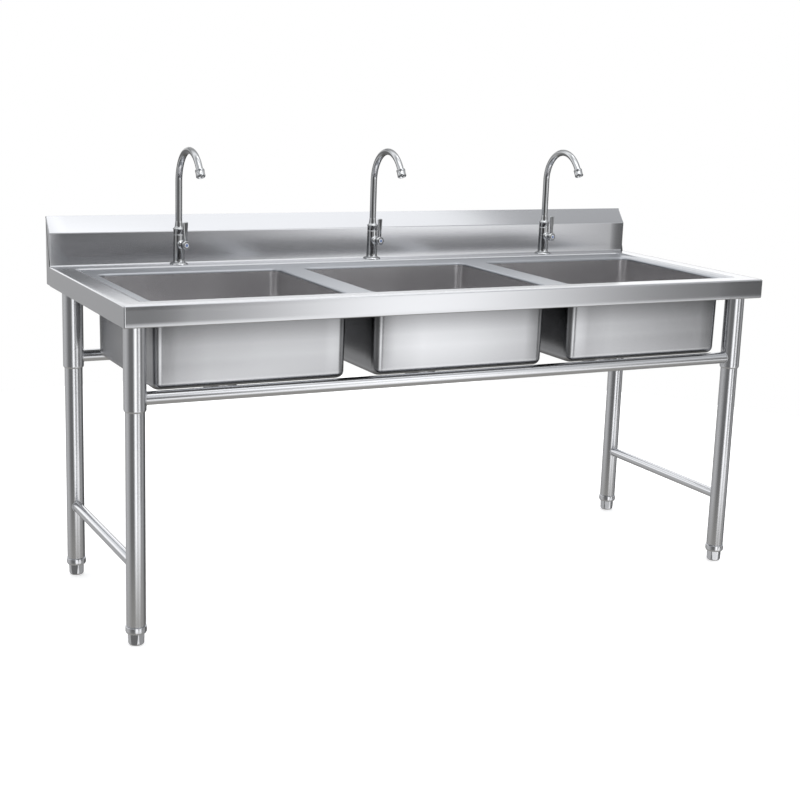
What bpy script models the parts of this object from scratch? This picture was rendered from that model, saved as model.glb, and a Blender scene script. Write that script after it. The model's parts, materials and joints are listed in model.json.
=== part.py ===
"""Three compartment sink: pressed worktop with a raised rim, sloped splash-back, three bowls with
lift-out strainer baskets, three gooseneck taps with quarter-turn levers, and a tube under-frame on
four telescopic legs with screw feet. Metres, Z up, floor at z = 0, front towards -Y."""
import bpy
import bmesh
from math import cos, sin, pi, radians, sqrt
from mathutils import Matrix, Vector

# ---------------------------------------------------------------- driving sizes (metres)
LENGTH = 1.80            # worktop end to end
DEPTH = 0.70             # front edge to wall
WORKTOP_HEIGHT = 0.82    # floor to the top of the raised rim
APRON = 0.05             # turned-down edge
SHEET = 0.0015           # stainless sheet
GAP = 0.0003             # clearance left between touching pieces
SPLASH_RISE = 0.13       # rim to the top of the splash-back
SPLASH_FRONT = 0.087     # upright part of the splash-back
SPLASH_THICK = 0.034
RIM = 0.048              # width of the raised rim and of the rear tap ledge
RIM_STEP = 0.004         # rim down to the wet deck
RIM_SLOPE = 0.008
LIP = 0.012              # return under the apron
END_MARGIN = 0.0855      # end of the worktop to the nearest bowl
DIVIDER = 0.072          # deck between two bowls
FRONT_MARGIN = 0.068
REAR_MARGIN = 0.17
BOWL_DEPTH = 0.212       # wet deck to bowl floor
BOWL_CORNER = 0.025
BOWL_FLOOR_RADIUS = 0.018
BOWL_FLANGE = 0.009
BOWL_TO_RAIL = 0.0020    # gap between a bowl's bottom corner and the front rail
SLEEVE_TO_LIP = 0.0035  # clear gap between a leg sleeve and the lip turned in under the apron
LEG_FRONT = 0.06
LEG_REAR = 0.10
SLEEVE_OD = 0.053
LEG_PLAY = 0.002         # between a leg and the wall of its sleeve
TUBE_WALL = 0.0015
SLEEVE_BELOW_RAIL = 0.030
LEG_IN_SLEEVE = 0.12
RAIL_OD = 0.032
CROSSBAR_OD = 0.027
CROSSBAR_SHARE = 0.235   # crossbar height as a share of the worktop height
FOOT_PAD = 0.029         # foot below the insert
INSERT_FLANGE = 0.017
CHANNEL_DEPTH = 0.025
CHANNEL_WIDTH = 0.040
TAP_HOLE = 0.031
TAP_ASIDE = 0.016        # taps stand this far to the right of the bowls' centre lines
TAP_SPREAD = 0.0075      # and the two outer taps this much further out
STUB_ASIDE = 15          # degrees that the side valve points to the right of straight ahead
TAP_BODY_OD = 0.029
TAP_BODY_HEIGHT = 0.081
SPOUT_OD = 0.018
SPOUT_TOP = 0.308        # ledge to the centre line of the arch
SPOUT_RADIUS = 0.088
SPOUT_SWEEP = 150        # degrees of arch
LEVER_HEIGHT = 0.055     # ledge to the lever hub axis
LEVER_LENGTH = 0.062
DRAIN_CUP_OD = 0.088
DRAIN_FLANGE = 0.012     # width of the strainer flange round its cup
DRAIN_DROP = 0.068

# ---------------------------------------------------------------- derived places
DECK_TOP = WORKTOP_HEIGHT - RIM_STEP
DECK_UNDER = DECK_TOP - SHEET
FRONT = -DEPTH / 2
SPLASH_FOOT = DEPTH / 2 - SPLASH_THICK
BOWL_WIDTH = (LENGTH - 2 * END_MARGIN - 2 * DIVIDER) / 3
BOWL_Y0 = FRONT + FRONT_MARGIN
BOWL_Y1 = DEPTH / 2 - REAR_MARGIN
BOWL_X = [(i - 1) * (BOWL_WIDTH + DIVIDER) for i in range(3)]
BOWL_MID_Y = (BOWL_Y0 + BOWL_Y1) / 2
FLOOR_TOP = DECK_TOP - BOWL_DEPTH
FLOOR_UNDER = FLOOR_TOP - SHEET
CORNER_OUT = BOWL_FLOOR_RADIUS + SHEET
RAIL_REACH = RAIL_OD / 2 + CORNER_OUT + BOWL_TO_RAIL
RAIL_BEHIND = min(max(BOWL_Y0 - SHEET + CORNER_OUT - FRONT - LEG_FRONT, 0.0), 0.9 * RAIL_REACH)
RAIL_Z = FLOOR_UNDER + CORNER_OUT - sqrt(RAIL_REACH ** 2 - RAIL_BEHIND ** 2)
SLEEVE_END = RAIL_Z - SLEEVE_BELOW_RAIL
CHANNEL_UNDER = DECK_UNDER - GAP - CHANNEL_DEPTH
SLEEVE_TOP = CHANNEL_UNDER - GAP
CROSSBAR_Z = WORKTOP_HEIGHT * CROSSBAR_SHARE
INSERT_UNDER = FOOT_PAD + GAP
LEG_OD = SLEEVE_OD - 2 * (TUBE_WALL + LEG_PLAY)
DRAIN_OD = DRAIN_CUP_OD + 2 * DRAIN_FLANGE
LEG_END = INSERT_UNDER + INSERT_FLANGE + GAP
LEG_INSET = LIP + SLEEVE_TO_LIP + SLEEVE_OD / 2
LEG_X = LENGTH / 2 - LEG_INSET
LEG_Y = {"front": FRONT + LEG_FRONT, "rear": DEPTH / 2 - LEG_REAR}
TAP_Y = SPLASH_FOOT - RIM / 2 - 0.001
TAP_Z = WORKTOP_HEIGHT
TAP_X = [x + TAP_ASIDE + (i - 1) * TAP_SPREAD for i, x in enumerate(BOWL_X)]
NAMES = ("left", "middle", "right")
STUB = Vector((sin(radians(STUB_ASIDE)), -cos(radians(STUB_ASIDE)), 0.0))     # direction of the tap's side valve

for old in list(bpy.data.objects):
    bpy.data.objects.remove(old, do_unlink=True)
PARTS = bpy.data.collections.new("three_compartment_sink")
CUTTERS = bpy.data.collections.new("cutters")
for group in (PARTS, CUTTERS):
    bpy.context.scene.collection.children.link(group)
CUTTERS.hide_render = True


# ---------------------------------------------------------------- materials
def linear(code):
    """A hex colour as linear RGBA."""
    values = [int(code[i:i + 2], 16) / 255 for i in (0, 2, 4)]
    return [v / 12.92 if v <= 0.04045 else ((v + 0.055) / 1.055) ** 2.4 for v in values] + [1.0]


def material(name, code, metallic, roughness):
    made = bpy.data.materials.new(name)
    made.use_nodes = True
    shader = made.node_tree.nodes["Principled BSDF"]
    shader.inputs["Base Color"].default_value = linear(code)
    shader.inputs["Metallic"].default_value = metallic
    shader.inputs["Roughness"].default_value = roughness
    made.diffuse_color = linear(code)
    return made


SATIN = material("satin_stainless", "B9BABD", 1.0, 0.32)
TUBE = material("polished_stainless_tube", "C3C4C6", 1.0, 0.16)
CHROME = material("chrome_plated_brass", "D9DBDD", 1.0, 0.05)
PLASTIC = material("grey_nylon", "6F7173", 0.0, 0.45)
RUBBER = material("black_rubber", "1F1F20", 0.0, 0.8)
INDEX = material("blue_index_button", "DDE6F2", 0.0, 0.3)


# ---------------------------------------------------------------- shape helpers
def add(name, mesh, mat=None, smooth=35):
    """A mesh as an object: in the part with a material, or among the hidden cutters without one."""
    obj = bpy.data.objects.new(name, mesh)
    (PARTS if mat else CUTTERS).objects.link(obj)
    if mat:
        mesh.materials.append(mat)
    else:
        obj.hide_render = True
        obj.display_type = "WIRE"
    if smooth and mesh.polygons:
        mesh.polygons.foreach_set("use_smooth", [True] * len(mesh.polygons))
        mesh.set_sharp_from_angle(angle=radians(smooth))
    return obj


def combine(obj, *others, how="DIFFERENCE"):
    """One exact Boolean per helper object."""
    for other in others:
        step = obj.modifiers.new(how.lower(), "BOOLEAN")
        step.operation = how
        step.solver = "EXACT"
        step.object = other
    return obj


def block(name, low, high, mat=None, corner=0.0, floor=0.0, inward=0.0, segments=4):
    """A box between two points. corner rounds its upright edges, floor its lower edges, and inward
    draws the lower face in, as on a pressed recess."""
    bm = bmesh.new()
    bmesh.ops.create_cube(bm, size=1.0)
    low, high = Vector(low), Vector(high)
    for v in bm.verts:
        for axis in range(3):
            v.co[axis] = high[axis] if v.co[axis] > 0 else low[axis]
        if inward and v.co.z == low.z:
            for axis in range(2):
                v.co[axis] += inward if v.co[axis] == low[axis] else -inward
    if corner:
        upright = [e for e in bm.edges if abs(e.verts[0].co.z - e.verts[1].co.z) > 1e-6]
        bmesh.ops.bevel(bm, geom=upright, offset=corner, segments=segments, profile=0.5,
                        affect="EDGES", clamp_overlap=True)
    if floor:
        lower = [e for e in bm.edges if all(abs(v.co.z - low.z) < 1e-6 for v in e.verts)]
        bmesh.ops.bevel(bm, geom=lower, offset=floor, segments=3, profile=0.5, affect="EDGES",
                        clamp_overlap=True)
    bmesh.ops.recalc_face_normals(bm, faces=bm.faces)
    mesh = bpy.data.meshes.new(name)
    bm.to_mesh(mesh)
    bm.free()
    return add(name, mesh, mat)


def lathe(name, profile, mat=None, at=(0, 0, 0), axis=(0, 0, 1), steps=20, closed=False):
    """A profile of (radius, height) turned about an axis through a point. It runs down the outer
    side; closed joins its last point to the first, for a tube or a ring."""
    mesh = bpy.data.meshes.new(name)
    edges = [(i, i + 1) for i in range(len(profile) - 1)]
    if closed:
        edges.append((len(profile) - 1, 0))
    mesh.from_pydata([(r, 0.0, z) for r, z in profile], edges, [])
    obj = add(name, mesh, mat, smooth=0)
    screw = obj.modifiers.new("turn", "SCREW")
    screw.axis = "Z"
    screw.steps = screw.render_steps = steps
    screw.use_merge_vertices = True
    screw.merge_threshold = 0.00001
    screw.use_smooth_shade = True
    obj.matrix_world = Matrix.Translation(at) @ Vector(axis).to_track_quat("Z", "Y").to_matrix().to_4x4()
    return obj


def tube(name, start, end, outer, inner, mat=None, steps=20):
    """A straight tube between two points, open at both ends; a rod where inner is nought."""
    start, end = Vector(start), Vector(end)
    long = (end - start).length
    if inner:
        profile, closed = [(outer, long), (outer, 0), (inner, 0), (inner, long)], True
    else:
        profile, closed = [(0, long), (outer, long), (outer, 0), (0, 0)], False
    return lathe(name, profile, mat, start, end - start, steps, closed)


def sweep(name, points, radius, sides, mat=None):
    """A rod along a line of points, made a mesh with welded caps."""
    curve = bpy.data.curves.new(name, "CURVE")
    curve.dimensions = "3D"
    curve.bevel_depth = radius
    curve.bevel_resolution = sides
    curve.use_fill_caps = True
    spline = curve.splines.new("POLY")
    spline.points.add(len(points) - 1)
    for point, place in zip(spline.points, points):
        point.co = (*place, 1.0)
    guide = bpy.data.objects.new(name + "_path", curve)
    mesh = bpy.data.meshes.new_from_object(guide)
    bpy.data.objects.remove(guide)
    bm = bmesh.new()
    bm.from_mesh(mesh)
    bmesh.ops.remove_doubles(bm, verts=bm.verts, dist=0.00001)
    bmesh.ops.recalc_face_normals(bm, faces=bm.faces)
    bm.to_mesh(mesh)
    bm.free()
    return add(name, mesh, mat)


def extrude_x(name, outline, x0, x1, mat=None):
    """A closed outline of (y, z) carried along X."""
    bm = bmesh.new()
    face = bm.faces.new([bm.verts.new((x0, y, z)) for y, z in outline])
    moved = bmesh.ops.extrude_face_region(bm, geom=[face])
    bmesh.ops.translate(bm, vec=(x1 - x0, 0, 0),
                        verts=[v for v in moved["geom"] if isinstance(v, bmesh.types.BMVert)])
    bmesh.ops.recalc_face_normals(bm, faces=bm.faces)
    mesh = bpy.data.meshes.new(name)
    bm.to_mesh(mesh)
    bm.free()
    return add(name, mesh, mat, smooth=0)


# ---------------------------------------------------------------- worktop and splash-back
HALF = LENGTH / 2
LEDGE_END = SPLASH_FOOT - GAP
top = block("worktop", (-HALF, FRONT, WORKTOP_HEIGHT - APRON), (HALF, LEDGE_END, WORKTOP_HEIGHT), SATIN)
recess = block("recess_cut", (-HALF + RIM, FRONT + RIM, DECK_TOP), (HALF - RIM, LEDGE_END - RIM, WORKTOP_HEIGHT + RIM_STEP),
               corner=0.012, inward=2 * RIM_SLOPE, segments=3)
hollow = block("hollow_cut", (-HALF + SHEET, FRONT + SHEET, WORKTOP_HEIGHT - APRON + SHEET),
               (HALF - SHEET, LEDGE_END - SHEET, DECK_UNDER))
mouth = block("mouth_cut", (-HALF + LIP, FRONT + LIP, WORKTOP_HEIGHT - APRON - 0.01),
              (HALF - LIP, LEDGE_END - LIP, WORKTOP_HEIGHT - APRON + 0.01))
combine(top, recess, hollow, mouth)
for i, x in enumerate(BOWL_X):
    side = NAMES[i]
    opening = block(f"opening_cut_{side}", (x - BOWL_WIDTH / 2, BOWL_Y0, DECK_UNDER - 0.01),
                    (x + BOWL_WIDTH / 2, BOWL_Y1, DECK_TOP + 0.01), corner=BOWL_CORNER)
    hole = tube(f"tap_hole_cut_{side}", (TAP_X[i], TAP_Y, DECK_UNDER - 0.01), (TAP_X[i], TAP_Y, WORKTOP_HEIGHT + 0.01),
                TAP_HOLE / 2, 0, steps=20)
    combine(top, opening, hole)

low = WORKTOP_HEIGHT - APRON
foot, wall = SPLASH_FOOT, DEPTH / 2
knee, crest = WORKTOP_HEIGHT + SPLASH_FRONT, WORKTOP_HEIGHT + SPLASH_RISE
splash = extrude_x("backsplash", [(foot, low), (wall, low), (wall, crest), (foot, knee)], -HALF, HALF, SATIN)
inner = extrude_x("backsplash_cut", [(foot + SHEET, low - 0.01), (wall - SHEET, low - 0.01),
                                     (wall - SHEET, crest - 2.2 * SHEET), (foot + SHEET, knee - 0.6 * SHEET)],
                  -HALF + SHEET, HALF - SHEET)
combine(splash, inner)

# ---------------------------------------------------------------- bowls and drains
for i, x in enumerate(BOWL_X):
    side = NAMES[i]
    x0, x1 = x - BOWL_WIDTH / 2, x + BOWL_WIDTH / 2
    seat = DECK_UNDER - GAP
    bowl = block(f"bowl_{side}", (x0 - SHEET, BOWL_Y0 - SHEET, FLOOR_UNDER), (x1 + SHEET, BOWL_Y1 + SHEET, seat), SATIN,
                 corner=BOWL_CORNER + SHEET, floor=BOWL_FLOOR_RADIUS + SHEET)
    flange = block(f"bowl_flange_{side}", (x0 - BOWL_FLANGE, BOWL_Y0 - BOWL_FLANGE, seat - SHEET),
                   (x1 + BOWL_FLANGE, BOWL_Y1 + BOWL_FLANGE, seat), corner=BOWL_CORNER + BOWL_FLANGE)
    inside = block(f"bowl_cut_{side}", (x0, BOWL_Y0, FLOOR_TOP), (x1, BOWL_Y1, DECK_TOP + 0.01),
                   corner=BOWL_CORNER, floor=BOWL_FLOOR_RADIUS)
    drain = tube(f"drain_cut_{side}", (x, BOWL_MID_Y, FLOOR_UNDER - 0.01), (x, BOWL_MID_Y, FLOOR_TOP + 0.01),
                 DRAIN_CUP_OD / 2 + 2 * GAP, 0, steps=20)
    combine(bowl, flange, how="UNION")
    combine(bowl, inside, drain)

    at = (x, BOWL_MID_Y, FLOOR_TOP)
    cup = DRAIN_CUP_OD / 2
    lathe(f"strainer_{side}", [
        (DRAIN_OD / 2, GAP + 0.0012), (DRAIN_OD / 2, GAP), (cup, GAP), (cup, -0.046), (0.020, -0.050),
        (0.020, -DRAIN_DROP), (0.0175, -DRAIN_DROP), (0.0175, -0.0485), (cup - 0.002, -0.0445), (cup - 0.002, GAP + 0.0006)],
        SATIN, at, steps=20, closed=True)
    basket_r = cup - 0.0045
    basket = lathe(f"basket_{side}", [
        (0.0, 0.006), (0.007, 0.005), (0.007, 0.0), (0.0035, -0.003), (0.0035, -0.030), (basket_r - 0.008, -0.030),
        (basket_r - 0.0015, -0.006), (basket_r - 0.0015, 0.0005), (cup - 0.0025, 0.0005), (cup - 0.0025, -0.0008), (basket_r, -0.0008),
        (basket_r, -0.006), (basket_r - 0.0065, -0.0318), (0.0, -0.0318)], SATIN, at, steps=20)
    for k in range(6):
        turn = (k + 0.5) * pi / 3
        px, py = x + 0.019 * cos(turn), BOWL_MID_Y + 0.019 * sin(turn)
        combine(basket, tube(f"basket_cut_{side}_{k}", (px, py, FLOOR_TOP - 0.04), (px, py, FLOOR_TOP - 0.02), 0.0045, 0, steps=6))
    ring, washer, lug = cup + 2 * GAP, DRAIN_OD / 2 - 0.001, cup + 0.0065
    lathe(f"drain_gasket_{side}", [(washer, -SHEET - GAP), (washer, -SHEET - 0.0025), (ring, -SHEET - 0.0025), (ring, -SHEET - GAP)],
          RUBBER, at, steps=20, closed=True)
    nut = -SHEET - 0.0025 - GAP
    lathe(f"drain_nut_{side}", [(washer - 0.001, nut), (washer - 0.001, nut - 0.003), (lug, nut - 0.003), (lug, nut - 0.010), (ring, nut - 0.010),
                                (ring, nut)], PLASTIC, at, steps=20, closed=True)

# ---------------------------------------------------------------- under-frame
for sx, side in ((-1, "left"), (1, "right")):
    cx = sx * LEG_X
    y0, y1 = FRONT + 0.004, LEDGE_END - 0.010
    w = CHANNEL_WIDTH / 2
    under = DECK_UNDER - GAP
    channel = block(f"channel_{side}", (cx - w, y0, under - CHANNEL_DEPTH), (cx + w, y1, under), SATIN)
    combine(channel, block(f"channel_cut_{side}", (cx - w + SHEET, y0 - 0.01, under - CHANNEL_DEPTH + SHEET),
                           (cx + w - SHEET, y1 + 0.01, under + 0.01)))
    for end, y in LEG_Y.items():
        label = f"{end}_{side}"
        r, leg = SLEEVE_OD / 2, LEG_OD / 2
        bore = leg + GAP
        lathe(f"sleeve_{label}", [
            (r, SLEEVE_TOP), (r, SLEEVE_END + 0.005), (r - 0.002, SLEEVE_END), (bore, SLEEVE_END),
            (bore, SLEEVE_END + 0.006), (r - TUBE_WALL, SLEEVE_END + 0.010), (r - TUBE_WALL, SLEEVE_TOP)],
            TUBE, (cx, y, 0), closed=True)
        tube(f"leg_{label}", (cx, y, LEG_END), (cx, y, SLEEVE_END + LEG_IN_SLEEVE), leg, leg - TUBE_WALL, TUBE)
        plug = leg - TUBE_WALL - GAP
        lathe(f"insert_{label}", [
            (0.0065, LEG_END + 0.022), (plug, LEG_END + 0.022), (plug, LEG_END - GAP), (leg + 0.0022, LEG_END - GAP),
            (leg + 0.0022, INSERT_UNDER + 0.002), (leg + 0.0002, INSERT_UNDER), (0.0065, INSERT_UNDER)],
            TUBE, (cx, y, 0), closed=True)
        pad = lathe(f"foot_{label}", [
            (0.0, LEG_END + 0.018), (0.0060, LEG_END + 0.018), (0.0060, FOOT_PAD), (0.0200, FOOT_PAD), (0.0200, FOOT_PAD - 0.010),
            (0.0185, 0.006), (0.0150, 0.0), (0.0, 0.0)], TUBE, (cx, y, 0), steps=18)
        flats = lathe(f"foot_flats_{label}", [(0.0, LEG_END + 0.03), (0.0215, LEG_END + 0.03), (0.0215, -0.01), (0.0, -0.01)],
                      None, (cx, y, 0), steps=6)
        combine(pad, flats, how="INTERSECT")

for end, y in LEG_Y.items():
    reach = LEG_X - SLEEVE_OD / 2 - GAP
    tube(f"rail_{end}", (-reach, y, RAIL_Z), (reach, y, RAIL_Z), RAIL_OD / 2, RAIL_OD / 2 - TUBE_WALL, TUBE, steps=16)
for sx, side in ((-1, "left"), (1, "right")):
    clear = LEG_OD / 2 + GAP
    tube(f"crossbar_{side}", (sx * LEG_X, LEG_Y["front"] + clear, CROSSBAR_Z), (sx * LEG_X, LEG_Y["rear"] - clear, CROSSBAR_Z),
         CROSSBAR_OD / 2, CROSSBAR_OD / 2 - TUBE_WALL, TUBE, steps=16)

# ---------------------------------------------------------------- taps
for i, x in enumerate(TAP_X):
    n = NAMES[i]
    base = Vector((x, TAP_Y, TAP_Z))
    r = TAP_BODY_OD / 2
    body = lathe(f"tap_body_{n}", [
        (r, TAP_BODY_HEIGHT), (r, 0.006), (0.0225, 0.0055), (0.0245, 0.003), (0.0245, GAP), (0.0145, GAP), (0.0145, -0.044),
        (0.0070, -0.044), (0.0070, 0.052), (0.0100, 0.056), (0.0100, TAP_BODY_HEIGHT)], CHROME, base, steps=18, closed=True)
    hub = base + Vector((0, 0, LEVER_HEIGHT))
    boss = lathe(f"tap_boss_{n}", [(0.0, 0.0245), (0.0070, 0.0245), (0.0070, 0.0195), (0.0115, 0.0165), (0.0115, 0.0120), (0.0, 0.0120)],
                 None, hub, STUB, steps=14)
    well = tube(f"tap_well_{n}", hub + STUB * 0.0155, hub + STUB * 0.030, 0.0053, 0, steps=12)
    combine(body, boss, how="UNION")
    combine(body, well)

    seat = TAP_BODY_HEIGHT + GAP
    neck = SPOUT_OD / 2
    turn_z = SPOUT_TOP - SPOUT_RADIUS
    spout = lathe(f"spout_{n}", [
        (0.0, seat + 0.040), (neck, seat + 0.040), (neck, seat + 0.0335), (0.0112, seat + 0.0185), (0.0138, seat + 0.0180),
        (0.0152, seat + 0.0170), (0.0152, seat + 0.0150), (r, seat + 0.0140), (r, seat), (0.0095, seat), (0.0095, seat - 0.022),
        (0.0, seat - 0.022)], CHROME, base, steps=18)
    path = [Vector((0, 0, seat - 0.002)), Vector((0, 0, turn_z))]
    bends = 10
    for k in range(1, bends + 1):
        a = radians(SPOUT_SWEEP) * k / bends
        path.append(Vector((0, -SPOUT_RADIUS * (1 - cos(a)), turn_z + SPOUT_RADIUS * sin(a))))
    a = radians(SPOUT_SWEEP)
    down = Vector((0, -sin(a), cos(a)))
    tip = path[-1] + down * 0.010
    path.append(tip)
    arch = sweep(f"spout_arch_{n}", [base + p for p in path], neck, 2)
    bore_path = [Vector((0, 0, seat - 0.030))] + path[1:-1] + [tip + down * 0.01]
    bore = sweep(f"spout_bore_{n}", [base + p for p in bore_path], 0.0066, 1)
    combine(spout, arch, how="UNION")
    combine(spout, bore)
    lathe(f"aerator_{n}", [
        (0.0112, 0.0), (0.0120, -0.0015), (0.0120, -0.0190), (0.0112, -0.0205), (0.0085, -0.0205), (0.0085, -0.0105 - GAP),
        (neck + GAP, -0.0105 + 0.0), (neck + GAP, 0.0)],
        CHROME, base + tip - down * 0.010, -down, steps=14, closed=True)

    face = hub + STUB * (0.0245 + GAP)
    lever = lathe(f"lever_{n}", [
        (0.0, 0.0130), (0.0100, 0.0130), (0.0118, 0.0110), (0.0118, 0.0015), (0.0105, 0.0), (0.0, 0.0)],
        CHROME, face, STUB, steps=16)
    turned = Matrix.Translation(face) @ Matrix.Rotation(radians(STUB_ASIDE - 90), 4, "Z")
    blade = block(f"lever_blade_{n}", (0.0040, -0.0050, 0.004), (0.0090, 0.0050, LEVER_LENGTH))
    for v in blade.data.vertices:
        if v.co.z > LEVER_LENGTH / 2:
            v.co.y *= 0.0080 / 0.0050
    blade.matrix_world = turned
    button_seat = tube(f"button_cut_{n}", face + STUB * 0.0118, face + STUB * 0.02, 0.0068, 0, steps=12)
    stem_seat = tube(f"stem_cut_{n}", face - STUB * 0.01, face + STUB * 0.0080, 0.0048, 0, steps=12)
    combine(lever, blade, how="UNION")
    combine(lever, button_seat, stem_seat)
    tube(f"index_button_{n}", face + STUB * (0.0118 + GAP), face + STUB * 0.0136, 0.0065, 0, INDEX, steps=12)
    tube(f"valve_stem_{n}", hub + STUB * (0.0155 + GAP), face + STUB * (0.0080 - GAP), 0.0045, 0, CHROME, steps=12)
    under = DECK_UNDER - TAP_Z - GAP
    nut = lathe(f"tap_nut_{n}", [(0.0205, under), (0.0205, under - 0.011), (0.0148, under - 0.011), (0.0148, under)],
                CHROME, base, steps=18, closed=True)
    combine(nut, lathe(f"tap_nut_flats_{n}", [(0.0, under + 0.01), (0.0205, under + 0.01), (0.0205, under - 0.02), (0.0, under - 0.02)],
                       None, base, steps=6), how="INTERSECT")
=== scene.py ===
"""Three compartment catering sink: the visible surfaces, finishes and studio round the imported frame.

Every piece is a surface worked out with numpy on a grid of two parameters and rides on the frame's
bodies. Metres, Z up, front towards -Y."""
import json

import bpy
import numpy as np
from mathutils import Matrix, Vector


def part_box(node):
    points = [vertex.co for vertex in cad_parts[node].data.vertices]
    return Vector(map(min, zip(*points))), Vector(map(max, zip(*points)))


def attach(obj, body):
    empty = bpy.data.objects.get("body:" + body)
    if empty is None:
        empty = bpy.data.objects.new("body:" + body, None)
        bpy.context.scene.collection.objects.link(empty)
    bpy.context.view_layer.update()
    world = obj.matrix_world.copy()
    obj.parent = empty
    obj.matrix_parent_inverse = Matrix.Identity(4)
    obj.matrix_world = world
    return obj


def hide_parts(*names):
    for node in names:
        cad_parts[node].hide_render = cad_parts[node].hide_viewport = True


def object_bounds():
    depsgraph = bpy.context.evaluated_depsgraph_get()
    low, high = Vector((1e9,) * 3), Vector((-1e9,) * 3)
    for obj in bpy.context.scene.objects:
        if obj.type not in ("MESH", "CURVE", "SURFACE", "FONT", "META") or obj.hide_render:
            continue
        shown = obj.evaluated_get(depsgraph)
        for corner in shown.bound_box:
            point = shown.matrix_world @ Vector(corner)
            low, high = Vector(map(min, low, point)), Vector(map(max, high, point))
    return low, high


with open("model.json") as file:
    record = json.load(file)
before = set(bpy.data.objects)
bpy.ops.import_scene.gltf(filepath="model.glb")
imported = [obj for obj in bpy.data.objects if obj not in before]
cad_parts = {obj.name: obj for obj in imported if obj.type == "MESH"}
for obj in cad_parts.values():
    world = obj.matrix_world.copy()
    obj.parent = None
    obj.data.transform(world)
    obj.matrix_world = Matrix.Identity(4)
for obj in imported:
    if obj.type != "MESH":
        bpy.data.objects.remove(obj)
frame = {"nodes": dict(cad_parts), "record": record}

bl_info = {
    "name": "Three Compartment Sink",
    "version": (1, 0, 0),
    "blender": (4, 5, 0),
    "location": "3D View > Sidebar > Sink",
    "description": "Pressed stainless sink with three bowls, gooseneck taps and a tube under-frame",
    "category": "Object",
}

CAD_BOX = [list(corner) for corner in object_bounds()]
SIDES = ("left", "middle", "right")
JOINTS = {joint["name"]: joint for joint in frame["record"]["behaviour"]["joints"]}


def box(node):
    """Lowest and highest corner of a frame node, as arrays."""
    low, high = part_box(node)
    return np.array(low), np.array(high)


TOP_LOW, TOP_HIGH = box("worktop")
SPLASH_LOW, SPLASH_HIGH = box("backsplash")
STUB = np.array(JOINTS["lever_turn_left"]["axis"], float)   # the way the tap's side valve points


def linear(code):
    """An sRGB hex colour as linear RGBA, by the sRGB curve."""
    values = [int(code[i:i + 2], 16) / 255 for i in (0, 2, 4)]
    return [v / 12.92 if v <= 0.04045 else ((v + 0.055) / 1.055) ** 2.4 for v in values] + [1.0]


# ---------------------------------------------------------------- sizes and colours a user may change
def size(name, description, metres):
    return bpy.props.FloatProperty(name=name, description=description, default=metres, min=0.0, unit="LENGTH", precision=4)


def colour(name, description, code):
    return bpy.props.FloatVectorProperty(name=name, description=description, default=linear(code), size=4, min=0.0, max=1.0,
                                         subtype="COLOR")


class SinkSizes(bpy.types.PropertyGroup):
    sheet: size("Sheet", "Thickness of the stainless sheet", 0.0012)
    edge: size("Rim edge", "Radius rolled along the outer edge of the rim", 0.0035)
    rim: size("Rim width", "Flat width of the raised rim", 0.049)
    slope: size("Rim slope", "Width of the slope from the rim to the wet deck", 0.010)
    step: size("Rim step", "Height of the rim over the wet deck", 0.004)
    roll: size("Bowl roll", "Radius rolled from the deck into a bowl", 0.0040)
    corner: size("Bowl corner", "Radius of a bowl's upright corners", 0.025)
    floor_roll: size("Bowl floor roll", "Radius between a bowl's walls and floor", 0.018)
    fall: size("Floor fall", "Fall of a bowl floor towards its drain", 0.0015)
    fold: size("Splash fold", "Radius of the folds of the splash-back", 0.0030)
    bead: size("Weld bead", "Radius of the weld beads on the under-frame", 0.0014)


class SinkColours(bpy.types.PropertyGroup):
    sheet: colour("Brushed sheet", "Number 4 brushed stainless sheet", "C6C7CA")
    deck: colour("Wet deck", "Brushed stainless between the bowls", "A6A9AE")
    drawn: colour("Drawn bowl", "Satin polished drawn bowl", "D4D5D8")
    inside: colour("Bowl inside", "Satin inside of the drawn bowls", "DFDEDF")
    tube: colour("Tube", "Polished stainless tube", "D0D1D4")
    chrome: colour("Chrome", "Chrome plate", "E4E6E8")
    button: colour("Index button", "White enamel of the lever button", "F8FAFE")
    mark: colour("Index mark", "Blue ring of the lever button", "7D96CB")


def sizes():
    return bpy.context.scene.sink_sizes


# ---------------------------------------------------------------- surfaces from arrays
def arc(start, stop, count):
    """Cosine and sine of evenly spaced angles in degrees, one row each."""
    turn = np.radians(np.linspace(start, stop, count))
    return np.stack([np.cos(turn), np.sin(turn)], axis=1)


def outlines(bounds, radius, square=0.0, corner=8, side=12):
    """Rings round rounded rectangles: (rings, places, 2). Each of the four corners is an arc of
    radius about its own centre, and places run evenly along the sides between them. square moves
    the arc out to the sharp corner by 1 / max(|cos|, |sin|)."""
    x0, x1, y0, y1 = np.asarray(bounds, float).T[:, :, None, None]
    r, q = (np.broadcast_to(np.asarray(v, float), x0.shape[:1])[:, None, None] for v in (radius, square))
    turn = np.radians(90) * np.arange(4)[:, None] + np.radians(np.linspace(0, 90, corner + 1))
    c, s = np.cos(turn), np.sin(turn)
    far = 1 + q * (1 / np.maximum(abs(c), abs(s)) - 1)
    right = np.array([1, 0, 0, 1])[:, None]
    back = np.array([1, 1, 0, 0])[:, None]
    x = np.where(right, x1 - r, x0 + r) + r * far * c
    y = np.where(back, y1 - r, y0 + r) + r * far * s
    bend = np.stack([x, y], axis=-1)
    along = np.linspace(0, 1, side + 1)[1:-1, None]
    first = np.roll(bend[:, :, :1], -1, axis=1)
    straight = bend[:, :, -1:] * (1 - along) + first * along
    return np.concatenate([bend, straight], axis=2).reshape(len(bend), -1, 2)


def raised(rings, heights):
    """Flat rings lifted to a height each."""
    z = np.broadcast_to(np.asarray(heights, float)[:, None, None], rings.shape[:2] + (1,))
    return np.concatenate([rings, z], axis=2)


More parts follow.
